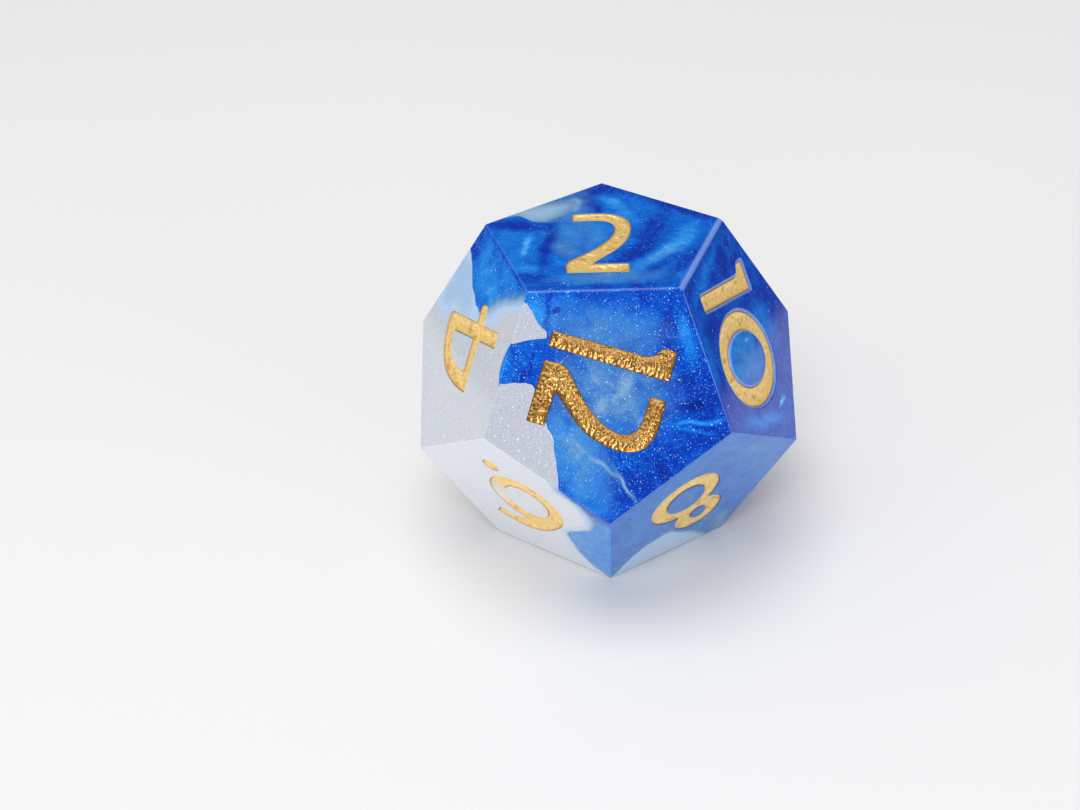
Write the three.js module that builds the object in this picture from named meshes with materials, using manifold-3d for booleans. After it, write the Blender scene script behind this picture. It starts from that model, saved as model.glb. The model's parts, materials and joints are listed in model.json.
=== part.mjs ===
// Twelve-sided die: one cast resin body with an engraved number on every face, and one
// separate slab of gold paint in each engraved stroke group.
// The die stands on face 11 with face 2 on top; face 12 looks towards -Y.
import * as THREE from 'three';
import { mergeVertices } from 'three/addons/utils/BufferGeometryUtils.js';
import Module from 'manifold-3d';

// Driving dimensions, mm.
const faceToFace = 19.0; // size of the die across two opposite faces
const engravingDepth = 0.6; // numbers are cut this deep, square to the face
const paintRecess = 0.15; // the paint stops this far below the face
const paintClearance = 0.02; // paint stands off the pocket walls and floor by this much
const cutterRise = 0.4; // how far the cutters stand proud of the face
const chordSteps = 16; // straight pieces in each curved stretch of an outline
const shortestEdge = 0.06; // small round corners keep only edges longer than this

const inradius = faceToFace / 2;
const goldenRatio = (1 + Math.sqrt(5)) / 2;
const circumradius = inradius * Math.sqrt(15 - 6 * Math.sqrt(5));
const sideLatitude = Math.atan(0.5); // the five side faces of each half lean by this angle

// The numbers. x runs to the reader's right and y to the head of the number, from the face
// centre. Each function returns the closed outlines of one number as shapes.

function shapeFrom(draw) {
  const shape = new THREE.Shape();
  draw(shape);
  return shape;
}

function ring(x, y, outerX, outerY, innerX, innerY, holeDrop = 0) {
  const shape = shapeFrom((s) => s.absellipse(x, y, outerX, outerY, 0, 2 * Math.PI, false, 0));
  shape.holes.push(new THREE.Path().absellipse(x, y + holeDrop, innerX, innerY, 0, 2 * Math.PI));
  return shape;
}

// A straight stem with a square flag at its head that curves back into the stem.
function one(x) {
  return [
    shapeFrom((s) => {
      s.moveTo(x + 0.42, -3.9);
      s.quadraticCurveTo(x + 0.5, -3.9, x + 0.5, -3.8);
      s.lineTo(x + 0.5, 3.02);
      s.quadraticCurveTo(x + 0.5, 3.1, x + 0.42, 3.1);
      s.lineTo(x - 1.16, 3.08);
      s.quadraticCurveTo(x - 1.26, 3.06, x - 1.26, 2.94);
      s.bezierCurveTo(x - 1.24, 2.4, x - 1.2, 2.2, x - 0.92, 2.06);
      s.bezierCurveTo(x - 0.6, 1.92, x - 0.5, 1.6, x - 0.5, 1.2);
      s.lineTo(x - 0.42, -3.8);
      s.quadraticCurveTo(x - 0.42, -3.9, x - 0.34, -3.9);
    }),
  ];
}

// A flat-topped bow that sweeps down to a sharp inner corner over a square foot.
function two(x) {
  return [
    shapeFrom((s) => {
      s.moveTo(x - 1.82, 2.4);
      s.quadraticCurveTo(x - 1.82, 2.3, x - 1.72, 2.3);
      s.lineTo(x - 0.6, 2.32);
      s.bezierCurveTo(x + 0.2, 2.3, x + 0.66, 2.0, x + 0.66, 1.35);
      s.bezierCurveTo(x + 0.66, 0.3, x - 0.1, -0.7, x - 0.95, -1.5);
      s.lineTo(x - 1.75, -2.25);
      s.quadraticCurveTo(x - 2.16, -2.62, x - 2.16, -3.1);
      s.lineTo(x - 2.12, -3.76);
      s.quadraticCurveTo(x - 2.12, -3.9, x - 1.98, -3.9);
      s.lineTo(x + 1.35, -3.9);
      s.quadraticCurveTo(x + 1.45, -3.9, x + 1.45, -3.8);
      s.lineTo(x + 1.45, -2.92);
      s.quadraticCurveTo(x + 1.45, -2.83, x + 1.35, -2.83);
      s.lineTo(x - 0.58, -2.8);
      s.lineTo(x + 0.45, -1.6);
      s.bezierCurveTo(x + 1.2, -0.75, x + 1.62, 0.3, x + 1.62, 1.4);
      s.bezierCurveTo(x + 1.62, 2.6, x + 1.0, 3.32, x - 0.5, 3.32);
      s.lineTo(x - 1.72, 3.27);
      s.quadraticCurveTo(x - 1.82, 3.27, x - 1.82, 3.17);
    }),
  ];
}

// Two right-hand bows of the same stroke, the lower one larger, meeting in a waist.
function three() {
  return [
    shapeFrom((s) => {
      s.moveTo(-1.75, 2.42);
      s.quadraticCurveTo(-1.75, 2.32, -1.65, 2.32);
      s.lineTo(-0.2, 2.32);
      s.bezierCurveTo(0.95, 2.32, 0.95, 0.62, -0.2, 0.62);
      s.lineTo(-0.95, 0.62);
      s.lineTo(-0.95, -0.33);
      s.lineTo(-0.15, -0.33);
      s.bezierCurveTo(1.4, -0.33, 1.4, -2.9, -0.15, -2.9);
      s.lineTo(-1.85, -2.9);
      s.quadraticCurveTo(-1.95, -2.9, -1.95, -3.0);
      s.lineTo(-1.95, -3.8);
      s.quadraticCurveTo(-1.95, -3.9, -1.85, -3.9);
      s.lineTo(0.0, -3.9);
      s.bezierCurveTo(2.4, -3.8, 2.75, -0.6, 1.05, 0.22);
      s.bezierCurveTo(2.1, 1.1, 1.75, 3.3, -0.1, 3.3);
      s.lineTo(-1.65, 3.3);
      s.quadraticCurveTo(-1.75, 3.3, -1.75, 3.2);
    }),
  ];
}

// An upright stem, a crossbar, and a long bow from the stem's head to the bar's left end.
function four() {
  const shape = shapeFrom((s) => {
    s.moveTo(0.6, -3.85);
    s.lineTo(1.34, -3.85);
    s.quadraticCurveTo(1.44, -3.85, 1.44, -3.75);
    s.lineTo(1.44, -1.55);
    s.lineTo(2.45, -1.55);
    s.quadraticCurveTo(2.57, -1.5, 2.57, -1.0);
    s.quadraticCurveTo(2.57, -0.5, 2.4, -0.5);
    s.lineTo(1.44, -0.5);
    s.lineTo(1.44, 2.9);
    s.quadraticCurveTo(1.44, 3.5, 0.85, 3.5);
    s.bezierCurveTo(-1.4, 3.5, -2.6, 1.9, -2.6, -1.45);
    s.quadraticCurveTo(-2.6, -1.55, -2.5, -1.55);
    s.lineTo(0.48, -1.55);
    s.lineTo(0.5, -3.75);
    s.quadraticCurveTo(0.5, -3.85, 0.6, -3.85);
  });
  const counter = new THREE.Path();
  counter.moveTo(0.45, -0.6);
  counter.lineTo(-1.5, -0.6);
  counter.bezierCurveTo(-1.5, 1.2, -0.9, 2.3, 0.4, 2.3);
  counter.lineTo(0.45, -0.6);
  shape.holes.push(counter);
  return [shape];
}

// A flat top bar, a short stem under its left end, and one large bow to the right.
function five() {
  return [
    shapeFrom((s) => {
      s.moveTo(-1.6, -0.2);
      s.lineTo(-1.6, 3.2);
      s.quadraticCurveTo(-1.6, 3.3, -1.5, 3.3);
      s.lineTo(1.55, 3.3);
      s.quadraticCurveTo(1.65, 3.3, 1.65, 3.2);
      s.lineTo(1.65, 2.42);
      s.quadraticCurveTo(1.65, 2.32, 1.55, 2.32);
      s.lineTo(-0.62, 2.32);
      s.lineTo(-0.62, 0.8);
      s.bezierCurveTo(3.2, 1.15, 2.9, -3.9, -0.2, -3.9);
      s.lineTo(-1.9, -3.9);
      s.quadraticCurveTo(-2.0, -3.9, -2.0, -3.8);
      s.lineTo(-2.0, -3.0);
      s.quadraticCurveTo(-2.0, -2.9, -1.9, -2.9);
      s.lineTo(-0.4, -2.9);
      s.bezierCurveTo(1.6, -2.9, 1.6, -0.2, -0.5, -0.2);
    }),
  ];
}

// A round bowl with a tail that rises from its left side and leans over to the right.
// side = 1 gives the 6, and side = -1 turns it half a turn into the 9.
function sixOrNine(side) {
  const start = side === 1 ? Math.PI : 0;
  const shape = shapeFrom((s) => {
    s.moveTo(side * 0.92, side * 3.68);
    s.quadraticCurveTo(side * 0.9, side * 3.78, side * 0.75, side * 3.76);
    s.bezierCurveTo(side * -1.4, side * 3.7, side * -2.52, side * 2.1, side * -2.52, side * -0.65);
    s.absarc(0, side * -0.65, 2.52, start, start + 4.95, false);
    s.bezierCurveTo(side * -0.5, side * 2.4, side * 0.2, side * 2.78, side * 0.85, side * 2.85);
    s.quadraticCurveTo(side * 0.96, side * 2.88, side * 0.95, side * 3.0);
  });
  shape.holes.push(new THREE.Path().absarc(0, side * -0.65, 1.48, 0, 2 * Math.PI));
  return [shape];
}

// A flat top bar whose right end turns straight down into a leaning stem.
function seven() {
  return [
    shapeFrom((s) => {
      s.moveTo(-0.85, -3.8);
      s.quadraticCurveTo(-0.88, -3.9, -0.75, -3.9);
      s.lineTo(0.08, -3.9);
      s.quadraticCurveTo(0.18, -3.9, 0.22, -3.8);
      s.bezierCurveTo(0.6, -1.6, 1.2, 0.6, 2.05, 2.45);
      s.lineTo(2.05, 3.2);
      s.quadraticCurveTo(2.05, 3.3, 1.95, 3.3);
      s.lineTo(-1.8, 3.3);
      s.quadraticCurveTo(-1.9, 3.3, -1.9, 3.2);
      s.lineTo(-1.9, 2.42);
      s.quadraticCurveTo(-1.9, 2.32, -1.8, 2.32);
      s.lineTo(0.9, 2.32);
      s.bezierCurveTo(0.1, 0.5, -0.5, -1.6, -0.85, -3.8);
    }),
  ];
}

// Two stacked rings that run into each other at the waist.
function eight() {
  return [
    ring(0.35, 2.05, 1.65, 1.68, 0.52, 0.64),
    ring(0.27, -1.32, 2.38, 2.45, 1.28, 1.42, 0.15),
  ];
}

function zero() {
  return [ring(1.13, -0.5, 2.8, 3.58, 1.68, 2.55)];
}

function dot(x, y) {
  return [shapeFrom((s) => s.absarc(x, y, 0.55, 0, 2 * Math.PI))];
}

// Each face: where its outward normal points (azimuth about Z in degrees, and +1 for the upper
// ring of side faces, -1 for the lower ring, 2 for the top, -2 for the bottom) and its paint.
const faces = {
  1: { azimuth: 90, level: -1, paint: { gold_fill_1: one(0.3) } },
  2: { azimuth: 0, level: 2, paint: { gold_fill_2: two(0) } },
  3: { azimuth: 162, level: -1, paint: { gold_fill_3: three() } },
  4: { azimuth: -162, level: 1, paint: { gold_fill_4: four() } },
  5: { azimuth: 126, level: 1, paint: { gold_fill_5: five() } },
  6: { azimuth: -126, level: -1, paint: { gold_fill_6: sixOrNine(1), gold_fill_6_dot: dot(3.0, -2.55) } },
  7: { azimuth: 54, level: 1, paint: { gold_fill_7: seven() } },
  8: { azimuth: -54, level: -1, paint: { gold_fill_8: eight() } },
  9: { azimuth: 18, level: -1, paint: { gold_fill_9: sixOrNine(-1), gold_fill_9_dot: dot(2.6, -3.15) } },
  10: { azimuth: -18, level: 1, paint: { gold_fill_10_one: one(-2.9), gold_fill_10_zero: zero() } },
  11: { azimuth: 0, level: -2, paint: { gold_fill_11_left: one(-1.2), gold_fill_11_right: one(1.8) } },
  12: { azimuth: -90, level: 1, paint: { gold_fill_12_one: one(-2.2), gold_fill_12_two: two(1.18) } },
};

const numbers = Object.keys(faces).map(Number);

function faceNormal(number) {
  const { azimuth, level } = faces[number];
  if (Math.abs(level) === 2) return new THREE.Vector3(0, 0, level / 2);
  const turn = THREE.MathUtils.degToRad(azimuth);
  const lean = sideLatitude * level;
  return new THREE.Vector3(
    Math.cos(turn) * Math.cos(lean), Math.sin(turn) * Math.cos(lean), Math.sin(lean),
  );
}

// The heads of the five numbers around 12 point away from 12, and those around 1 away from 1.
// The head of 12 points to the corner it shares with 10 and 8, that of 1 to the one with 3 and 5.
function headDirection(number) {
  if (number === 12) return faceNormal(10).add(faceNormal(8));
  if (number === 1) return faceNormal(3).add(faceNormal(5));
  const pole = [2, 4, 6, 8, 10].includes(number) ? 12 : 1;
  return faceNormal(pole).negate();
}

// Frame of a face: x to the reader's right, y to the number's head, z out of the face.
function faceFrame(number) {
  const out = faceNormal(number);
  const head = headDirection(number).projectOnPlane(out).normalize();
  const right = new THREE.Vector3().crossVectors(head, out);
  const centre = out.clone().multiplyScalar(inradius).add(new THREE.Vector3(0, 0, inradius));
  return new THREE.Matrix4().makeBasis(right, head, out).setPosition(centre);
}

// A closed outline moved towards its inside by a distance, corner by corner along the mitres.
// Solid outlines run counter-clockwise and holes clockwise, so both move into the material.
function movedInwards(points, distance) {
  const count = points.length;
  return points.map((point, i) => {
    const before = point.clone().sub(points[(i + count - 1) % count]).normalize();
    const after = points[(i + 1) % count].clone().sub(point).normalize();
    const mitre = new THREE.Vector2(-before.y - after.y, before.x + after.x).normalize();
    const widening = Math.max(0.4, before.x * mitre.y - before.y * mitre.x);
    return point.clone().addScaledVector(mitre, distance / widening);
  });
}

// The corners of a closed curve, with no edge shorter than shortestEdge.
function cornersOf(curve, isHole) {
  const corners = [];
  for (const point of curve.getPoints(chordSteps)) {
    const last = corners[corners.length - 1];
    if (!last || point.distanceTo(last) > shortestEdge) corners.push(point);
  }
  if (corners[0].distanceTo(corners[corners.length - 1]) < shortestEdge) corners.pop();
  if (THREE.ShapeUtils.isClockWise(corners) !== isHole) corners.reverse();
  return corners;
}

const wasm = await Module();
wasm.setup();

function solidFrom(geometry) {
  geometry.deleteAttribute('normal');
  geometry.deleteAttribute('uv');
  const merged = mergeVertices(geometry);
  return new wasm.Manifold(new wasm.Mesh({
    numProp: 3,
    vertProperties: new Float32Array(merged.getAttribute('position').array),
    triVerts: new Uint32Array(merged.index.array),
  }));
}

function geometryFrom(solid) {
  const { vertProperties, triVerts } = solid.getMesh();
  const geometry = new THREE.BufferGeometry();
  geometry.setAttribute('position', new THREE.BufferAttribute(vertProperties, 3));
  geometry.setIndex(new THREE.BufferAttribute(triVerts, 1));
  geometry.computeVertexNormals();
  return geometry;
}

// The outlines of one number as an upright solid between two heights over the face, moved by
// the matrix where one is given.
function prism(outlines, inset, low, high, matrix = new THREE.Matrix4()) {
  const solids = outlines.map((outline) => {
    const shape = new THREE.Shape(movedInwards(cornersOf(outline, false), inset));
    shape.holes = outline.holes.map((hole) => new THREE.Path(movedInwards(cornersOf(hole, true), inset)));
    const slab = new THREE.ExtrudeGeometry(shape, { depth: high - low, bevelEnabled: false });
    return solidFrom(slab.translate(0, 0, low).applyMatrix4(matrix));
  });
  return solids.reduce((joined, next) => joined.add(next));
}

// The body: a regular dodecahedron turned to stand on a face, less the engraved numbers.
function resinBody() {
  const blank = new THREE.DodecahedronGeometry(circumradius);
  blank.rotateY(-Math.atan(1 / goldenRatio)).rotateZ(Math.PI / 2).translate(0, 0, inradius);
  let solid = solidFrom(blank);
  for (const number of numbers) {
    for (const outlines of Object.values(faces[number].paint)) {
      const cutter = prism(outlines, 0, -engravingDepth, cutterRise, faceFrame(number));
      solid = solid.subtract(cutter);
    }
  }
  const resin = new THREE.MeshStandardMaterial({
    color: 0x2a62b8, roughness: 0.15, metalness: 0, flatShading: true,
  });
  const mesh = new THREE.Mesh(geometryFrom(solid), resin);
  mesh.name = 'resin_body';
  return mesh;
}

// The paint on one face, in a group that sits in the face's frame.
function paintOnFace(number) {
  const gold = new THREE.MeshStandardMaterial({
    color: 0xb98b3e, roughness: 0.35, metalness: 0.9, flatShading: true,
  });
  const group = new THREE.Group();
  group.applyMatrix4(faceFrame(number));
  for (const [name, outlines] of Object.entries(faces[number].paint)) {
    const slab = prism(outlines, paintClearance, -engravingDepth + paintClearance, -paintRecess);
    const mesh = new THREE.Mesh(geometryFrom(slab), gold);
    mesh.name = name;
    group.add(mesh);
  }
  return group;
}

const die = new THREE.Group();
die.add(resinBody());
for (const number of numbers) die.add(paintOnFace(number));

export default die;
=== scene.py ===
import json
import math

import bpy
from mathutils import Matrix, Vector, noise
from mathutils.bvhtree import BVHTree


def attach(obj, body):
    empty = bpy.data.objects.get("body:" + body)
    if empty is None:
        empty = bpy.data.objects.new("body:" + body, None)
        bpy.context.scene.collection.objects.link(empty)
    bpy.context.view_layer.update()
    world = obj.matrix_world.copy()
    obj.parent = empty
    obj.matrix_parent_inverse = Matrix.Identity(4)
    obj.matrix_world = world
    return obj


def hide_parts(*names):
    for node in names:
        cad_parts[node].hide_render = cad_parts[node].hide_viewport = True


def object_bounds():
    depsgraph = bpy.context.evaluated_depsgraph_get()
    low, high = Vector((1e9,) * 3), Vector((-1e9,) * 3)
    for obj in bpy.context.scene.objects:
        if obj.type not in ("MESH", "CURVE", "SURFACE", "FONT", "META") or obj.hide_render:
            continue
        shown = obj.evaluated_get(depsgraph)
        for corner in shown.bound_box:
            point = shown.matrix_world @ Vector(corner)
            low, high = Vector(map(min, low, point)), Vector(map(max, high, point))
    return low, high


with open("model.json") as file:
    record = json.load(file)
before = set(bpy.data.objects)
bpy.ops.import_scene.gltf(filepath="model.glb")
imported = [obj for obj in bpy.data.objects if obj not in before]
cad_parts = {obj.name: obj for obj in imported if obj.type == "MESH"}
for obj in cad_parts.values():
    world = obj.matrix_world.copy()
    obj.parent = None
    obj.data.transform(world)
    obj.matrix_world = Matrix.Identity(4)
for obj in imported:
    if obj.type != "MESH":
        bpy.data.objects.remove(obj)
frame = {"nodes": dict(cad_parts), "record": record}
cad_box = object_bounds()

# ---------------------------------------------------------------------------------------------
# The body: one casting of epoxy resin, poured as two colours that swirl into each other. It is
# sanded flat on twelve faces and polished, which leaves a hair of rounding on every edge, and
# the numbers are moulded in as grooves with slightly softened rims.

MM = 0.001  # the body and the paint are shaped in millimetres
EDGE_ROUNDING = 0.1
POLISHED_EDGE_ROUNDING = 0.3  # between the faces 2 and 10, where the polish has gone deeper
RIM_ROUNDING = 0.07
POLISHED_RIM_ROUNDING = 0.2  # round the numbers of the face 10
FACE_TOLERANCE = 0.01  # how far off a face's plane its polygons may lie
FACE_ALIGNMENT = 0.999  # and the least cosine between their directions

face_to_face = cad_box[1].z / MM
middle = Vector((0, 0, face_to_face / 2))

# Each face's outward direction and the head of its number, from the faces the die can rest on.
outward, head = {}, {}
for mount in frame["record"]["mounts"]:
    number = int(mount["name"].removeprefix("face_"))
    outward[number] = Vector(mount["axis"]).normalized()
    centre = middle + outward[number] * face_to_face / 2
    head[number] = (Vector(mount["pos_m"]) / MM - centre).normalized()


def face_frame(number, up=None):
    """From a face's own millimetres to the die's: x to the right of up, y up, z outwards."""
    z = outward[number]
    y = (up or head[number]).normalized()
    x = y.cross(z)
    turn = Matrix((x, y, z)).transposed().to_4x4()
    return Matrix.Translation(middle + z * face_to_face / 2) @ turn


def merged_copy(node, name, place):
    """A copy of a CAD node as one connected mesh, in the millimetres of the frame in place."""
    bpy.ops.object.select_all(action="DESELECT")
    piece = bpy.data.objects.new(name, frame["nodes"][node].data.copy())
    bpy.context.scene.collection.objects.link(piece)
    bpy.context.view_layer.objects.active = piece
    piece.select_set(True)
    piece.data.materials.clear()
    piece.data.transform(place.inverted() @ Matrix.Scale(1 / MM, 4))
    bpy.ops.mesh.customdata_custom_splitnormals_clear()
    bpy.ops.object.mode_set(mode="EDIT")
    bpy.ops.mesh.select_all(action="SELECT")
    bpy.ops.mesh.remove_doubles(threshold=0.001)
    bpy.ops.mesh.dissolve_limited(angle_limit=math.radians(0.5))
    bpy.ops.object.mode_set(mode="OBJECT")
    return piece


def face_number_of(polygon):
    """The number of the die's face that this polygon lies in, or None inside an engraving."""
    for number, out in outward.items():
        off_plane = abs((polygon.center - middle).dot(out) - face_to_face / 2)
        if off_plane < FACE_TOLERANCE and polygon.normal.dot(out) > FACE_ALIGNMENT:
            return number
    return None


def bevel_edges(piece, wanted, width, segments, clamp=True):
    """Rounds the edges that lie between faces of the die that are wanted."""
    faces_at = {edge.key: set() for edge in piece.data.edges}
    for polygon in piece.data.polygons:
        number = face_number_of(polygon)
        for key in polygon.edge_keys:
            faces_at[key].add(number)
    bpy.ops.object.mode_set(mode="EDIT")
    bpy.ops.mesh.select_mode(type="EDGE")
    bpy.ops.mesh.select_all(action="DESELECT")
    bpy.ops.object.mode_set(mode="OBJECT")
    for edge in piece.data.edges:
        edge.select = wanted(faces_at[edge.key])
    bpy.ops.object.mode_set(mode="EDIT")
    bpy.ops.mesh.bevel(offset=width, segments=segments, affect="EDGES", clamp_overlap=clamp)
    bpy.ops.object.mode_set(mode="OBJECT")


def is_plain_rim(faces):
    return len(faces) == 2 and None in faces and 10 not in faces


def is_die_edge(faces):
    return len(faces) == 2 and None not in faces


# The rims of the numbers are rounded first, and then the edges of the die.
body = merged_copy("resin_body", "cast_resin_body", Matrix.Identity(4))
bevel_edges(body, lambda faces: faces == {None, 10}, POLISHED_RIM_ROUNDING, segments=3, clamp=False)
bevel_edges(body, is_plain_rim, RIM_ROUNDING, segments=2)
bevel_edges(body, lambda faces: faces == {2, 10}, POLISHED_EDGE_ROUNDING, segments=4)
bevel_edges(body, is_die_edge, EDGE_ROUNDING, segments=3)
bpy.ops.object.shade_smooth_by_angle(angle=math.radians(40))
flatten = body.modifiers.new("flat faces stay flat", "WEIGHTED_NORMAL")
flatten.weight = 100
flatten.keep_sharp = True
bpy.ops.object.modifier_apply(modifier=flatten.name)
body.data.transform(Matrix.Scale(MM, 4))


def shader(name):
    """A new material's tree, its Principled shader, and a function that adds a node to it."""
    material = bpy.data.materials.new(name)
    material.use_nodes = True
    tree = material.node_tree
    principled = tree.nodes["Principled BSDF"]

    def add(kind, inputs=(), **settings):
        made = tree.nodes.new(kind)
        for setting, value in settings.items():
            setattr(made, setting, value)
        for socket, value in dict(inputs).items():
            if isinstance(value, bpy.types.NodeSocket):
                tree.links.new(value, made.inputs[socket])
            else:
                made.inputs[socket].default_value = value
        return made

    return material, tree, principled, add


# The functions below add to whichever material is being mixed.


def place_in_die():
    """Where a point lies, in millimetres from the middle of the die."""
    at = add("ShaderNodeTexCoord").outputs["Object"]
    scaled = {"Vector": at, "Scale": (1 / MM, 1 / MM, 1 / MM), "Location": -middle}
    return add("ShaderNodeMapping", scaled).outputs[0]


def math_node(operation, a, b=0.0):
    return add("ShaderNodeMath", {0: a, 1: b}, operation=operation).outputs[0]


def mix_value(factor, a, b):
    return add("ShaderNodeMix", {0: factor, 2: a, 3: b}).outputs[0]


def mix_colour(factor, a, b):
    return add("ShaderNodeMix", {0: factor, 6: a, 7: b}, data_type="RGBA").outputs[2]


def length_of(vector):
    return add("ShaderNodeVectorMath", {0: vector}, operation="LENGTH").outputs["Value"]


def reach_along(vector, direction):
    sockets = {0: vector, 1: direction}
    return add("ShaderNodeVectorMath", sockets, operation="DOT_PRODUCT").outputs["Value"]


def noise_at(place, scale, detail=2.0, distortion=0.0):
    """Noise from 0 to 1, as its level and as a colour."""
    sockets = {"Vector": place, "Scale": scale, "Detail": detail, "Distortion": distortion}
    made = add("ShaderNodeTexNoise", sockets)
    return made.outputs["Fac"], made.outputs["Color"]


def fade(value, start, end):
    """1 below start, 0 above end, smooth between."""
    sockets = {"Value": value, "From Min": start, "From Max": end, "To Min": 1, "To Max": 0}
    return add("ShaderNodeMapRange", sockets, interpolation_type="SMOOTHSTEP").outputs["Result"]


def stirred(place, scale, reach):
    """The place moved about by noise, as stirring moves the resin."""
    swirl = noise_at(place, scale)[1]
    centred = add("ShaderNodeVectorMath", {0: swirl, 1: (0.5, 0.5, 0.5)}, operation="SUBTRACT")
    moved = add("ShaderNodeVectorMath", {0: centred.outputs[0], "Scale": reach}, operation="SCALE")
    return add("ShaderNodeVectorMath", {0: place, 1: moved.outputs[0]}, operation="ADD").outputs[0]


def placed(vector, place, size=(1, 1, 1)):
    """The vector measured in the frame in place, and in units of size."""
    sockets = {
        "Vector": vector,
        "Location": place.to_translation(),
        "Rotation": place.to_euler(),
        "Scale": size,
    }
    return add("ShaderNodeMapping", sockets, vector_type="TEXTURE").outputs[0]


def colour_ramp(value, stops):
    """The colour at a value, from stops of a position and a colour."""
    ramp = add("ShaderNodeValToRGB", {0: value})
    while len(ramp.color_ramp.elements) < len(stops):
        ramp.color_ramp.elements.new(0.5)
    for stop, (position, colour) in zip(ramp.color_ramp.elements, stops):
        stop.position = position
        stop.color = (*colour, 1)
    return ramp.outputs["Color"]


STROKE_DEPTH = 6  # half of how deep a stroke of colour goes, so it also covers the engravings
LINE_REACH = 8  # a line is drawn this far to each side of the middle of the face
SOFTNESS_CHANGE = (-0.6, 1.6)  # and its softness changes between these places along it


def inside_stroke(on_face, across, up, half_length, half_width, turn, blur):
    """1 inside an oval stroke of colour on a face, 0 outside it."""
    place = Matrix.Translation((across, up, 0)) @ Matrix.Rotation(math.radians(turn), 4, "Z")
    oval = placed(on_face, place, (half_length, half_width, STROKE_DEPTH))
    return fade(length_of(oval), 1 - blur, 1 + blur)


def rescaled(value, old_range, new_range):
    """The value moved from one range to another."""
    sockets = {"Value": value, "From Min": old_range[0], "From Max": old_range[1]}
    sockets.update({"To Min": new_range[0], "To Max": new_range[1]})
    return add("ShaderNodeMapRange", sockets).outputs["Result"]


def on_curve(height):
    """From millimetres on a face to the 0 to 1 of a curve."""
    return height / (2 * LINE_REACH) + 0.5


def below_line(on_face, along, soft, soft_end, points):
    """1 below a line drawn across the face, or left of one drawn up it, and 0 past it. Its
    softness changes from soft to soft_end as it passes the middle of the face."""
    split = add("ShaderNodeSeparateXYZ", {0: on_face})
    way, level = split.outputs[0], split.outputs[1]
    if along == "up":
        way, level = level, way
    whole_line = (-LINE_REACH, LINE_REACH)
    line = add("ShaderNodeFloatCurve", {"Value": rescaled(way, whole_line, (0, 1))})
    curve = line.mapping.curves[0]
    curve.points[0].location = (0, on_curve(points[0][1]))
    curve.points[-1].location = (1, on_curve(points[-1][1]))
    for position, height in points:
        curve.points.new(on_curve(position), on_curve(height))
    for point in curve.points:
        point.handle_type = "AUTO_CLAMPED"
    line.mapping.update()
    past = math_node("SUBTRACT", level, rescaled(line.outputs[0], (0, 1), whole_line))
    softness = mix_value(fade(way, *SOFTNESS_CHANGE), soft_end, soft)
    return fade(math_node("DIVIDE", past, softness), -1, 1)


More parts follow.
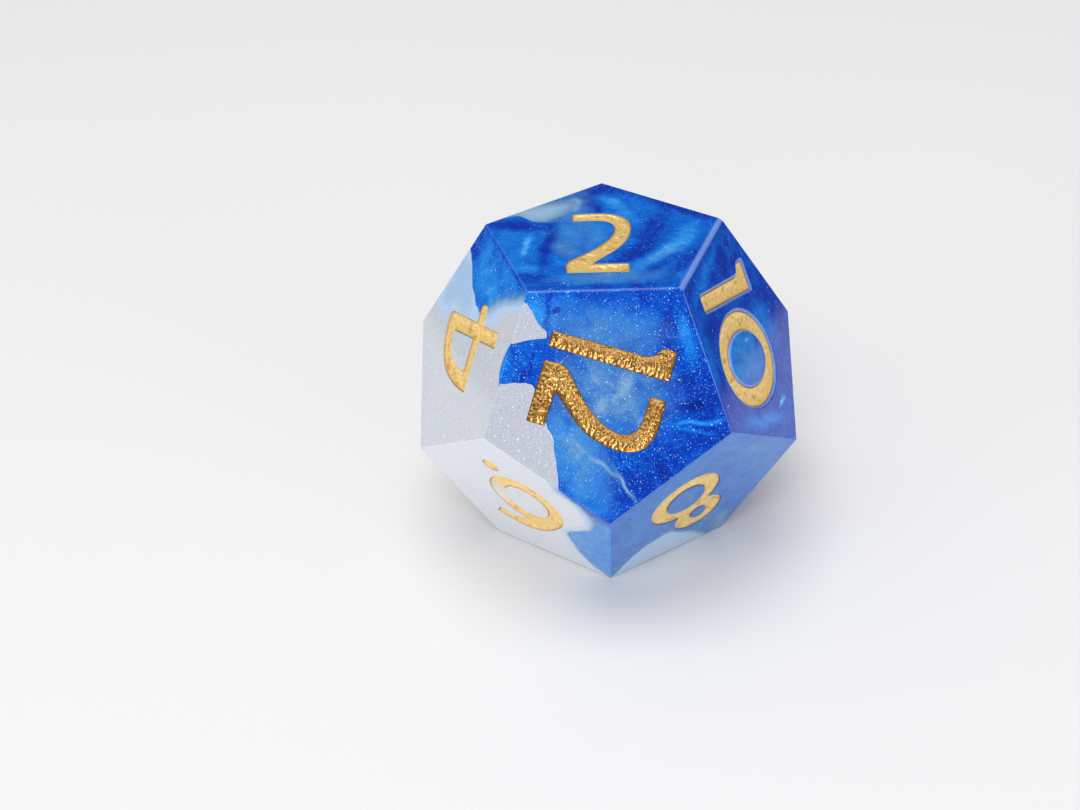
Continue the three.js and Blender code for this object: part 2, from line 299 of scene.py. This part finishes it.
# Two things vary through the resin: the tone of the blue pour, from 0, navy, to 1, light cyan,
# and how much of it is the pearl pour, from 0 to 1. Each face has the tone and the share of pearl
# it starts from, and then its strokes in order. A stroke of tone or pearl is an oval: its place
# across and up the face, half length, half width, turn, blur and the new value. A line has its
# direction, its two softnesses, the share of pearl below it, or left of it, the share above it,
# where None leaves what is there, and its points.
FACE_SWIRLS = {
    12: (0.33, 0.0, [
        ("tone", -0.2, 3.9, 3.0, 1.1, -6, 0.8, 0.5),
        ("tone", 0.3, 0.2, 2.8, 2.3, 0, 0.6, 0.44),
        ("tone", -1.9, -3.6, 2.9, 1.3, -66, 0.5, 0.66),
        ("tone", -3.7, 4.9, 1.3, 0.8, -66, 0.5, 0.66),
        ("tone", 0.5, 5.6, 4.4, 0.6, 0, 0.7, 0.3),
        ("tone", -2.4, 5.0, 0.9, 0.6, 0, 0.8, 0.55),
        ("tone", -3.15, 4.5, 1.3, 0.17, 82, 0.8, 0.24),
        ("tone", 3.5, 3.9, 1.8, 0.45, 80, 0.6, 0.2),
        ("tone", 5.0, 0.4, 3.6, 0.9, -72, 0.6, 0.22),
        ("tone", 4.4, 3.2, 1.5, 0.3, -72, 0.8, 0.6),
        ("tone", 4.9, -1.65, 1.3, 0.14, 4, 0.9, 0.8),
        ("tone", 4.6, -2.1, 1.0, 0.1, -8, 0.9, 0.7),
        ("tone", 4.9, -0.65, 0.7, 0.3, 5, 0.8, 0.03),
        ("tone", -2.6, 4.72, 0.24, 0.17, 0, 0.5, 0.1),
        ("tone", 0.45, -5.75, 0.22, 0.17, 0, 0.5, 0.1),
        ("tone", 2.6, -4.2, 2.6, 0.9, 38, 0.6, 0.2),
        ("tone", -1.0, -6.3, 1.2, 0.6, 40, 0.7, 0.5),
        ("tone", -4.7, 2.0, 1.5, 0.95, 10, 0.5, 0.38),
        ("tone", -4.35, 1.6, 0.8, 0.14, 66, 0.8, 0.22),
        ("tone", -2.5, 0.2, 1.5, 0.5, -76, 0.6, 0.28),
        ("tone", 2.0, 0.9, 1.2, 0.12, 50, 0.9, 0.3),
        ("pearl", -0.3, 3.7, 2.9, 1.0, -6, 0.9, 0.15),
        ("pearl", 0.2, 0.1, 2.7, 2.2, 0, 0.7, 0.24),
        ("pearl", -1.7, -3.4, 2.6, 1.3, -64, 0.7, 0.17),
        ("pearl", -0.4, -3.9, 1.2, 0.14, -42, 0.9, 0.32),
        ("pearl", 0.9, -5.1, 1.0, 0.12, -58, 0.9, 0.34),
        ("pearl", 1.9, -1.4, 1.1, 0.1, 38, 0.9, 0.2),
        ("line", "up", 0.05, 0.05, 1.0, None, [
            (-7.0, -2.6), (-5.2, -2.9), (-4.0, -2.95), (-3.0, -3.0), (-2.2, -3.1), (-1.5, -3.45),
            (0.0, -3.9), (0.72, -4.1), (0.8, -5.0), (0.9, -6.3), (2.2, -6.0), (2.9, -5.6),
            (3.04, -4.2), (3.14, -3.3), (3.35, -3.3), (4.2, -3.75), (4.8, -4.0), (5.2, -4.3),
            (5.9, -5.4),
        ]),
    ]),
    2: (0.5, 0.0, [
        ("tone", -1.2, 0.9, 2.0, 1.4, -70, 0.5, 0.66),
        ("tone", -5.2, -0.3, 2.2, 1.2, 78, 0.6, 0.6),
        ("tone", -4.45, -0.6, 1.3, 0.25, 84, 0.8, 0.9),
        ("tone", -4.2, -3.4, 1.0, 0.6, -10, 0.6, 0.68),
        ("tone", -3.2, -0.6, 2.4, 0.35, 84, 0.8, 0.16),
        ("tone", -5.3, 2.0, 1.7, 0.6, -8, 0.7, 0.24),
        ("tone", 2.9, 1.2, 2.2, 0.7, 76, 0.7, 0.24),
        ("tone", 1.7, -1.8, 1.7, 0.6, 46, 0.7, 0.22),
        ("tone", 3.5, -1.6, 2.4, 0.4, 50, 0.8, 0.86),
        ("tone", 4.9, 0.7, 1.7, 0.5, 68, 0.8, 0.76),
        ("tone", 4.8, -2.4, 1.9, 0.4, 62, 0.8, 0.3),
        ("tone", 2.8, -3.6, 2.2, 0.3, 44, 0.8, 0.36),
        ("tone", 0.6, 4.6, 2.4, 0.4, -64, 0.7, 0.76),
        ("tone", -0.7, 4.4, 1.2, 0.3, -60, 0.7, 0.28),
        ("tone", 4.6, 4.0, 3.2, 0.7, -36, 0.8, 0.2),
        ("tone", 0.0, 6.4, 1.6, 0.8, 0, 0.8, 0.24),
        ("tone", 0.2, -5.5, 3.8, 0.3, 0, 0.8, 0.3),
        ("tone", -3.4, -4.6, 1.4, 0.5, -20, 0.7, 0.34),
        ("pearl", -3.7, 3.8, 2.2, 1.5, 28, 0.8, 0.5),
        ("pearl", -2.6, 5.4, 1.6, 0.6, 36, 0.9, 0.2),
        ("line", "across", 0.07, 0.07, 0.0, None, [
            (-7.0, 2.3), (-6.2, 2.9), (-5.2, 3.1), (-4.4, 2.65), (-3.8, 2.35), (-1.6, 2.3), (0.0, 2.6),
        ]),
        ("pearl", -1.3, 0.6, 1.8, 1.2, -70, 0.8, 0.12),
        ("pearl", -2.2, -1.1, 0.9, 0.5, -60, 0.7, 0.22),
        ("tone", 0.3, -4.5, 2.8, 0.6, 3, 0.8, 0.62),
        ("pearl", 0.3, -4.5, 2.6, 0.6, 3, 0.8, 0.16),
        ("pearl", 3.2, -2.2, 1.6, 0.2, 42, 0.9, 0.12),
    ]),
    10: (0.3, 0.0, [
        ("tone", -1.2, -0.6, 2.6, 1.6, -25, 0.5, 0.62),
        ("tone", -1.0, 4.9, 3.4, 0.4, 5, 0.8, 0.55),
        ("tone", 3.2, -0.4, 1.4, 0.9, -30, 0.7, 0.52),
        ("tone", 1.8, 4.3, 0.8, 0.7, 80, 0.7, 0.16),
        ("tone", -3.2, 2.7, 0.9, 0.5, 0, 0.7, 0.16),
        ("tone", 5.4, -1.0, 2.6, 0.9, -72, 0.7, 0.24),
        ("tone", -2.6, -4.2, 2.4, 0.35, -28, 0.8, 0.66),
        ("tone", 0.5, -4.95, 0.5, 0.16, 5, 0.9, 0.95),
        ("tone", -5.3, 1.5, 2.0, 0.5, 72, 0.8, 0.5),
        ("tone", -0.1, -0.2, 0.3, 0.09, -20, 0.8, 0.95),
        ("pearl", -1.3, -0.7, 2.1, 1.3, -25, 0.9, 0.08),
    ]),
    # The face 8 starts from a paler blue and a little pearl, partly as painted light for a face that
    # little light reaches.
    8: (0.55, 0.08, [
        ("tone", -3.8, 1.0, 3.6, 1.1, 70, 0.7, 0.6),
        ("tone", 4.2, 0.6, 3.6, 1.2, -70, 0.7, 0.54),
        ("tone", -0.6, 5.8, 1.8, 0.8, 20, 0.7, 0.6),
        ("tone", 1.8, 4.4, 2.4, 0.2, -32, 0.9, 0.66),
        ("pearl", -0.9, 0.6, 1.1, 0.9, -20, 0.8, 0.2),
        ("pearl", -1.5, -3.0, 1.6, 0.6, 20, 0.8, 0.2),
        ("pearl", 3.2, -4.4, 2.4, 0.9, -50, 0.9, 0.24),
        ("line", "across", 0.25, 0.5, 0.7, None, [
            (-6.0, -6.6), (-4.2, -5.6), (-3.6, -4.6), (-3.0, -3.8), (-2.0, -3.3), (-1.0, -3.1),
            (0.0, -3.5), (1.0, -4.2), (2.0, -5.0), (3.5, -6.0),
        ]),
    ]),
    4: (0.55, 1.0, [
        ("tone", -4.2, 4.9, 1.6, 0.9, -20, 0.8, 0.26),
        ("tone", -0.6, 3.9, 2.4, 1.1, -16, 0.7, 0.7),
        ("tone", -0.5, 5.8, 4.6, 0.2, 0, 0.8, 0.3),
        ("tone", 0.6, 5.1, 2.2, 0.4, -4, 0.8, 0.56),
        ("pearl", -3.4, 2.2, 3.4, 1.5, -24, 0.6, 0.56),
        ("pearl", -4.9, 0.9, 1.6, 1.2, 60, 0.8, 0.56),
        ("pearl", -0.2, 1.6, 1.2, 1.0, 0, 0.8, 0.66),
        ("pearl", 1.4, 2.2, 1.4, 0.8, 30, 0.9, 0.76),
        ("line", "across", 0.06, 1.3, None, 0.0, [
            (-6.0, 4.7), (-5.0, 4.15), (-4.0, 3.6), (-3.0, 3.05), (-2.0, 2.6), (-1.0, 2.2),
            (-0.2, 2.1), (0.5, 2.5), (1.2, 3.0), (2.2, 3.7), (3.2, 4.4), (4.3, 5.1),
        ]),
        ("pearl", 6.05, 2.05, 1.5, 1.05, -72, 0.1, 0.0),
    ]),
    6: (0.78, 1.0, [
        ("tone", 5.6, 3.0, 1.6, 0.6, -36, 0.7, 0.2),
        ("line", "up", 0.5, 0.5, None, 0.8, [
            (-6.0, 3.6), (-5.0, 2.8), (-4.0, 2.2), (-3.0, 2.0), (-2.0, 2.1), (-1.2, 2.4),
            (-0.5, 3.1), (0.0, 3.7), (0.6, 4.4), (1.5, 4.8), (2.3, 4.6), (3.0, 4.2), (4.3, 3.5),
        ]),
        ("line", "up", 0.2, 0.7, None, 0.07, [
            (-6.0, 4.2), (-5.0, 3.3), (-4.0, 2.75), (-3.0, 2.5), (-2.0, 2.55), (-1.2, 2.9),
            (-0.5, 3.9), (0.0, 4.5), (0.6, 5.1), (1.5, 5.5), (2.3, 5.3), (3.0, 4.85), (3.5, 4.3),
            (4.3, 3.9),
        ]),
    ]),
}
BLUES = [
    (0.0, (0.001, 0.014, 0.18)),
    (0.25, (0.001, 0.036, 0.39)),
    (0.5, (0.001, 0.115, 0.56)),
    (0.75, (0.014, 0.23, 0.7)),
    (1.0, (0.12, 0.45, 0.86)),
]
MILKY_TO_ICY = [(0.2, (0.08, 0.225, 0.43)), (0.66, (0.41, 0.55, 0.75))]

# Three sizes of glitter: how many cells of foam are in a millimetre, the share of them that hold a
# speck, its radius as a part of a cell, and the strength of its glint. The glints are painted into
# the colour as bright cyan and white specks, most of them on the faces 12, 4 and 1.
GLITTER = [(4.0, 0.14, 0.18, 1.4), (7.0, 0.3, 0.24, 0.9), (11.0, 0.55, 0.3, 0.55)]
GLINTING_FACES = (12, 4, 1)
SPARSER_GLINTS = 0.25  # the painted glints are sparser on the other faces
CYAN_GLINT = (0.04, 0.62, 0.95, 1)
WHITE_GLINT = (1.0, 1.0, 1.0, 1)

# One pearl pour in lighter and darker copies, each matched to how bright its face is under the light:
# painted light and shade.
PEARLS = {  # the two tones of the pearl's shimmer
    12: ((0.29, 0.31, 0.38, 1), (0.55, 0.57, 0.65, 1)),
    4: ((0.38, 0.41, 0.47, 1), (0.58, 0.6, 0.65, 1)),
    None: ((0.5, 0.53, 0.6, 1), (0.76, 0.78, 0.83, 1)),
}
EDGE_HIGHLIGHTS = {10: 0.42, 2: 0.42, 12: 0.03, None: 0.1}  # how strong the painted highlight on a face's edges and rims is
# the colour of the painted highlight on the edges and rims
EDGE_HIGHLIGHT_TINT = (0.36, 0.52, 0.86, 1)
POLISHED_ROUGHNESS = (0.05, 0.12)
EDGE_ROUGHNESS = 0.4

# On the faces without strokes the pearl lies low and to the left, past a billowing border.
PEARL_SIDE = Vector((-0.83, -0.2, -0.52))
PEARL_BORDER = (7.4, 8.0)
BILLOW_HEIGHT = 7.0

UPRIGHT = Vector((0, 0, 1))
AWAY = Vector((0, 1, 0))


def standing_frame(number):
    """A face's frame from the middle of the die, with up as the die stands on the face 11."""
    standing = AWAY if number == 2 else UPRIGHT
    flat_up = standing - outward[number] * standing.dot(outward[number])
    return Matrix.Translation(-middle) @ face_frame(number, flat_up)


resins = {}
for number in outward:
    resins[number], tree, principled, add = shader(f"swirled_resin_face_{number}")

    # The place is read in three ways: still, gently stirred and well stirred.
    still = place_in_die()
    gently_stirred = stirred(still, scale=0.55, reach=0.7)
    well_stirred = stirred(still, scale=0.3, reach=4.0)
    marbling = noise_at(well_stirred, scale=0.42, detail=5, distortion=1.6)[0]

    if number in FACE_SWIRLS:
        on_face = placed(gently_stirred, standing_frame(number))
        tone, pearl, strokes = FACE_SWIRLS[number]
        for kind, *stroke in strokes:
            if kind == "tone":
                tone = mix_value(inside_stroke(on_face, *stroke[:6]), tone, stroke[6])
            elif kind == "pearl":
                pearl = mix_value(inside_stroke(on_face, *stroke[:6]), pearl, stroke[6])
            else:
                along, soft, soft_end, below, above, points = stroke
                mask = below_line(on_face, along, soft, soft_end, points)
                below = pearl if below is None else below
                above = pearl if above is None else above
                pearl = mix_value(mask, above, below)
    else:
        billow = noise_at(well_stirred, scale=0.2, detail=3)[0]
        raised = math_node("MULTIPLY", billow, BILLOW_HEIGHT)
        towards_pearl = math_node("ADD", reach_along(well_stirred, PEARL_SIDE), raised)
        pearl = math_node("SUBTRACT", 1.0, fade(towards_pearl, *PEARL_BORDER))
        tone = math_node("MULTIPLY", marbling, 0.8)

    # The blue mica: its tone, with wisps and finer folds of silk in it, chooses its colour.
    wisps = math_node("MULTIPLY", math_node("SUBTRACT", marbling, 0.5), 0.5)
    folded = stirred(gently_stirred, scale=1.1, reach=0.9)
    silk = noise_at(folded, scale=1.5, detail=5, distortion=1.2)[0]
    fine_wisps = math_node("MULTIPLY", math_node("SUBTRACT", silk, 0.5), 0.42)
    blue = colour_ramp(math_node("ADD", math_node("ADD", wisps, fine_wisps), tone), BLUES)

    # Where the pearl is thin, it drifts through the blue like smoke.
    drifting = stirred(gently_stirred, scale=0.8, reach=1.2)
    drift = noise_at(drifting, scale=0.9, detail=4, distortion=0.5)[0]
    smoke = math_node("MULTIPLY", math_node("MULTIPLY", pearl, fade(drift, 0.95, 0.05)), 2.0)
    pearl = mix_value(fade(pearl, 0.2, 0.3), pearl, smoke)

    # Thin pearl over blue is a milky blue, thicker pearl an icy one, and all pearl a silver white.
    milk = mix_colour(math_node("MULTIPLY", pearl, 3.0), blue, colour_ramp(pearl, MILKY_TO_ICY))
    shimmer = noise_at(still, scale=9.0, detail=3)[0]
    # The pearl's tones differ per face as painted light and shade.
    silver = mix_colour(shimmer, *PEARLS.get(number, PEARLS[None]))
    colour = mix_colour(fade(pearl, 0.66, 0.98), silver, milk)

    # Glitter: specks scattered through the resin, each chosen cell of a foam holding one. Their glints
    # are painted in as bright colour.
    for cells_per_mm, share, radius, glint_strength in GLITTER:
        foam = add("ShaderNodeTexVoronoi", {"Vector": still, "Scale": cells_per_mm})
        dice = add("ShaderNodeSeparateColor", {0: foam.outputs["Color"]})
        if number not in GLINTING_FACES:
            share *= SPARSER_GLINTS
        chosen = math_node("LESS_THAN", dice.outputs[0], share)
        speck = math_node("MULTIPLY", chosen, fade(foam.outputs["Distance"], radius * 0.5, radius))
        whiter = math_node("MAXIMUM", pearl, math_node("MULTIPLY", dice.outputs[2], 0.5))
        glint_colour = mix_colour(whiter, CYAN_GLINT, WHITE_GLINT)
        painted_glint = math_node("MULTIPLY", math_node("ADD", dice.outputs[1], 0.3), glint_strength)
        colour = mix_colour(math_node("MULTIPLY", speck, painted_glint), colour, glint_colour)

    # The rounded edges and rims, found by how far a point lies in from the die's flat faces, are
    # a little less glossy than the polished faces, and a paler tint is painted on them as a highlight:
    # the pale room mirrored in their rounding. Opposite faces share a direction.
    reach = math_node("ABSOLUTE", reach_along(still, outward[1]))
    for low_number in range(2, 7):
        other_reach = math_node("ABSOLUTE", reach_along(still, outward[low_number]))
        reach = math_node("MAXIMUM", reach, other_reach)
    inset = math_node("SUBTRACT", face_to_face / 2, reach)
    edge_band = math_node("SUBTRACT", fade(inset, 0.08, 0.2), fade(inset, 0.0, 0.04))
    edge_highlight = math_node("MULTIPLY", edge_band, EDGE_HIGHLIGHTS.get(number, EDGE_HIGHLIGHTS[None]))
    # The edges and rims take the tint of the painted highlight.
    colour = mix_colour(edge_highlight, colour, EDGE_HIGHLIGHT_TINT)
    tree.links.new(colour, principled.inputs["Base Color"])
    smooth = mix_value(noise_at(still, scale=0.8)[0], *POLISHED_ROUGHNESS)
    tree.links.new(mix_value(edge_highlight, smooth, EDGE_ROUGHNESS), principled.inputs["Roughness"])
    principled.inputs["IOR"].default_value = 1.5
    principled.inputs["Subsurface Weight"].default_value = 0.15
    principled.inputs["Subsurface Radius"].default_value = (0.8, 1.0, 1.4)
    principled.inputs["Subsurface Scale"].default_value = 0.2 * MM
    body.data.materials.append(resins[number])

# Each part of the surface takes the resin of the face of the die that it lies in or under.
numbers = list(resins)
for polygon in body.data.polygons:
    spot = polygon.center / MM - middle
    nearest = max(outward, key=lambda number: spot.dot(outward[number]))
    polygon.material_index = numbers.index(nearest)
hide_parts("resin_body")
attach(body, "root")

# ---------------------------------------------------------------------------------------------
# The paint: metallic gold brushed into each engraving and wiped off the face. It creeps up the
# walls as it dries, so each stroke is a shallow trough with a grainy, hammered-looking skin.

PAINT_GRID = 0.045
PAINT_CREEP = 0.035  # how far the paint reaches into the walls it is bonded to
TROUGH_REACH = 0.5  # from the wall to the middle of a stroke
MID_WALL = -0.3  # half way down the engraving
NOISE_STEP = 7  # from one number's grain to the next one's, so that no two are the same

# How each face's paint dried: its level at the wall, the depth of its trough, and the size and
# height of its grain. It is thick and wrinkled like foil on three faces, elsewhere thin and smooth.
THICK_PAINT = (-0.05, 0.2, 0.17, 0.105)
THIN_PAINT = (-0.05, 0.1, 0.22, 0.045)
THICK_FACES = (12, 7, 3)
LOW_RIM = -0.12  # the level at the wall on the face 10, under its softer rims
GRAIN_LAYERS = ((0.25, 1.0), (1.0, 1.0), (2.1, 0.3))  # fineness and height of each

# The finish of each: its gold, the brown of its flecks and rims, the range of its roughness, and
# its share of metal.
GOLDS = {
    "thick_wrinkled_gold": ((1.0, 0.59, 0.18), (0.55, 0.22, 0.04, 1), (0.19, 0.37), 0.88),
    "thin_smooth_gold": ((1.0, 0.7, 0.24), (0.6, 0.26, 0.04, 1), (0.22, 0.4), 0.32),
}
DEEPER_GOLD = 0.88  # how bright its deeper blotches are

# On the face 6 the paint is worn nearly through in one spot.
THIN_SPOT = Vector((-1.55, 0.35, 0))
THIN_SPOT_SIZE = (0.8, 1.3, 1.0)
BARE_RESIN = (0.66, 0.65, 0.66, 1)

golds = {}
for name, (bright, brown, roughness, metal) in GOLDS.items():
    golds[name], tree, principled, add = shader(name)
    still = place_in_die()

    # The gold is blotched, and brown in its flecks, in its thinnest patches and along the walls.
    blotch = noise_at(still, scale=1.6, detail=4)[0]
    deeper = (*(level * DEEPER_GOLD for level in bright), 1)
    tinted = mix_colour(fade(blotch, 0.35, 0.65), deeper, (*bright, 1))
    fleck = fade(noise_at(still, scale=6.0, detail=3)[0], 0.7, 0.62)
    burnt = math_node("MULTIPLY", fade(blotch, 0.37, 0.46), 0.8)
    from_wall = add("ShaderNodeAttribute", attribute_name="from_wall").outputs["Fac"]
    shade = math_node("MAXIMUM", math_node("MAXIMUM", fleck, burnt), fade(from_wall, 0.02, 0.12))
    colour = mix_colour(math_node("MULTIPLY", shade, 0.75), tinted, brown)

    # The worn spot shows the resin under the paint.
    place = standing_frame(6) @ Matrix.Translation(THIN_SPOT)
    ragged = placed(stirred(still, scale=2.2, reach=0.9), place, THIN_SPOT_SIZE)
    bare = math_node("MULTIPLY", fade(length_of(ragged), 0.5, 1.15), 0.85)
    colour = mix_colour(bare, colour, BARE_RESIN)
    tree.links.new(colour, principled.inputs["Base Color"])
    tree.links.new(mix_value(bare, metal, 0.0), principled.inputs["Metallic"])
    tree.links.new(mix_value(blotch, *roughness), principled.inputs["Roughness"])

    # The skin is crumpled more finely than its grain.
    crumple = noise_at(stirred(still, scale=5.0, reach=0.3), scale=8.0, detail=3)[0]
    creased = {"Height": crumple, "Strength": 0.28, "Distance": 0.03 * MM}
    tree.links.new(add("ShaderNodeBump", creased).outputs[0], principled.inputs["Normal"])


def grain_at(spot):
    """The height of the grain, from its layers of noise."""
    return sum(height * noise.noise(spot * fineness) for fineness, height in GRAIN_LAYERS)


def paint_in_engraving(node, number):
    """Paint that fills the place of a CAD node, sunk into a trough with a grainy skin."""
    place = face_frame(number)
    thick = number in THICK_FACES
    rim_level, trough_depth, grain_size, grain_height = THICK_PAINT if thick else THIN_PAINT
    if number == 10:
        rim_level = LOW_RIM
    piece = merged_copy(node, node.replace("gold_fill", "gold_paint"), place)
    walls = [p for p in piece.data.polygons if abs(p.normal.z) < 0.5]
    corners = [v.co.copy() for v in piece.data.vertices]
    wall_tree = BVHTree.FromPolygons(corners, [list(p.vertices) for p in walls])

    swell = piece.modifiers.new("creep", "DISPLACE")
    swell.strength = PAINT_CREEP
    swell.mid_level = 0
    bpy.ops.object.modifier_apply(modifier=swell.name)
    grid = piece.modifiers.new("grid", "REMESH")
    grid.mode = "VOXEL"
    grid.voxel_size = PAINT_GRID
    bpy.ops.object.modifier_apply(modifier=grid.name)

    # The skin sinks from the wall to the middle of each stroke, and its grain starts at the wall.
    from_wall = piece.data.attributes.new("from_wall", "FLOAT", "POINT")
    top = max(v.co.z for v in piece.data.vertices)
    for vertex in piece.data.vertices:
        if vertex.co.z > top - 0.5 * PAINT_GRID:
            across, up = vertex.co.x, vertex.co.y
            distance = wall_tree.find_nearest((across, up, MID_WALL))[3]
            inside = min(distance / TROUGH_REACH, 1)
            grain = grain_at(Vector((across, up, number * NOISE_STEP)) / grain_size)
            sink = trough_depth * (1 - (1 - inside) ** 2)
            vertex.co.z += rim_level - top - sink + grain_height * grain * min(1, 3 * inside)
            from_wall.data[vertex.index].value = distance
    piece.data.transform(Matrix.Scale(MM, 4) @ place)
    bpy.ops.object.shade_smooth()
    piece.data.materials.append(golds["thick_wrinkled_gold" if thick else "thin_smooth_gold"])
    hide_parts(node)
    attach(piece, "root")


for node in sorted(frame["nodes"]):
    if node.startswith("gold_fill_"):
        paint_in_engraving(node, int(node.split("_")[2]))

# ---------------------------------------------------------------------------------------------
# The place the die is seen in: a pale sheet of paper, 140 by 200 mm, under soft light. It lies a
# hair below the die, and the camera looks down on them from a hand's width away.

bpy.ops.object.select_all(action="DESELECT")
bpy.ops.mesh.primitive_plane_add(size=0.2, location=(0, 0, -0.02 * MM))
floor = bpy.context.object
floor.data.transform(Matrix.Diagonal((0.7, 1, 1, 1)))
floor.name = "pale_floor"
paper, tree, principled, add = shader("pale_paper")
principled.inputs["Base Color"].default_value = (0.78, 0.78, 0.785, 1)
principled.inputs["Roughness"].default_value = 0.8
floor.data.materials.append(paper)


def soft_light(name, place, size, power, aim=(0, 0, 0.01)):
    """A round light of this size, turned to the middle of the die."""
    light = bpy.data.lights.new(name, "AREA")
    light.shape = "DISK"
    light.size = size
    light.energy = power
    holder = bpy.data.objects.new(name, light)
    bpy.context.scene.collection.objects.link(holder)
    holder.location = place
    holder.rotation_euler = (Vector(place) - Vector(aim)).to_track_quat("Z", "Y").to_euler()
    return holder


# The low lights only fill: the polished faces don't mirror them. The window lights up the grain
# of the gold.
soft_light("overhead", (-0.03, 0.02, 0.4), size=0.3, power=0.58)
for name, place, power in (
    ("front", (-0.05, -0.4, 0.12), 0.18),
    ("low_left", (-0.33, -0.2, 0.04), 0.48),
    ("low_right", (0.27, -0.28, 0.04), 0.38),
):
    soft_light(name, place, size=0.25, power=power).visible_glossy = False
soft_light("window", (-0.05, -0.265, 0.3), size=0.16, power=0.42)

# The room: pale where it is seen past the floor, soft light all round, and dim in reflections.
ROOM_SEEN = 0.81
ROOM_LIGHT = 0.58
ROOM_REFLECTED = 0.07

world = bpy.data.worlds.new("studio")
bpy.context.scene.world = world
world.use_nodes = True
room = world.node_tree
ray = room.nodes.new("ShaderNodeLightPath")
on_things = room.nodes.new("ShaderNodeMix")
on_things.inputs[2].default_value = ROOM_LIGHT
on_things.inputs[3].default_value = ROOM_REFLECTED
room.links.new(ray.outputs["Is Glossy Ray"], on_things.inputs[0])
strength = room.nodes.new("ShaderNodeMix")
strength.inputs[3].default_value = ROOM_SEEN
room.links.new(ray.outputs["Is Camera Ray"], strength.inputs[0])
room.links.new(on_things.outputs[0], strength.inputs[2])
room.nodes["Background"].inputs["Color"].default_value = (1.0, 1.0, 1.0, 1)
room.links.new(strength.outputs[0], room.nodes["Background"].inputs["Strength"])

CAMERA_AZIMUTH = math.radians(2.33)
CAMERA_ELEVATION = math.radians(32.81)
CAMERA_ROLL = math.radians(-2.54)
CAMERA_DISTANCE = 120.6 * MM
look_at = Vector((-4.07, 0, 7.74)) * MM
back = Vector((
    math.sin(CAMERA_AZIMUTH) * math.cos(CAMERA_ELEVATION),
    -math.cos(CAMERA_AZIMUTH) * math.cos(CAMERA_ELEVATION),
    math.sin(CAMERA_ELEVATION),
))
lens = bpy.data.cameras.new("camera")
lens.lens = 66.2
lens.sensor_width = 36
lens.clip_start = 0.005
camera = bpy.data.objects.new("camera", lens)
bpy.context.scene.collection.objects.link(camera)
level = back.to_track_quat("Z", "Y").to_matrix()
camera.matrix_world = (
    Matrix.Translation(look_at + back * CAMERA_DISTANCE)
    @ (level @ Matrix.Rotation(CAMERA_ROLL, 3, "Z")).to_4x4()
)
bpy.context.scene.camera = camera
bpy.context.scene.view_settings.view_transform = "Standard"
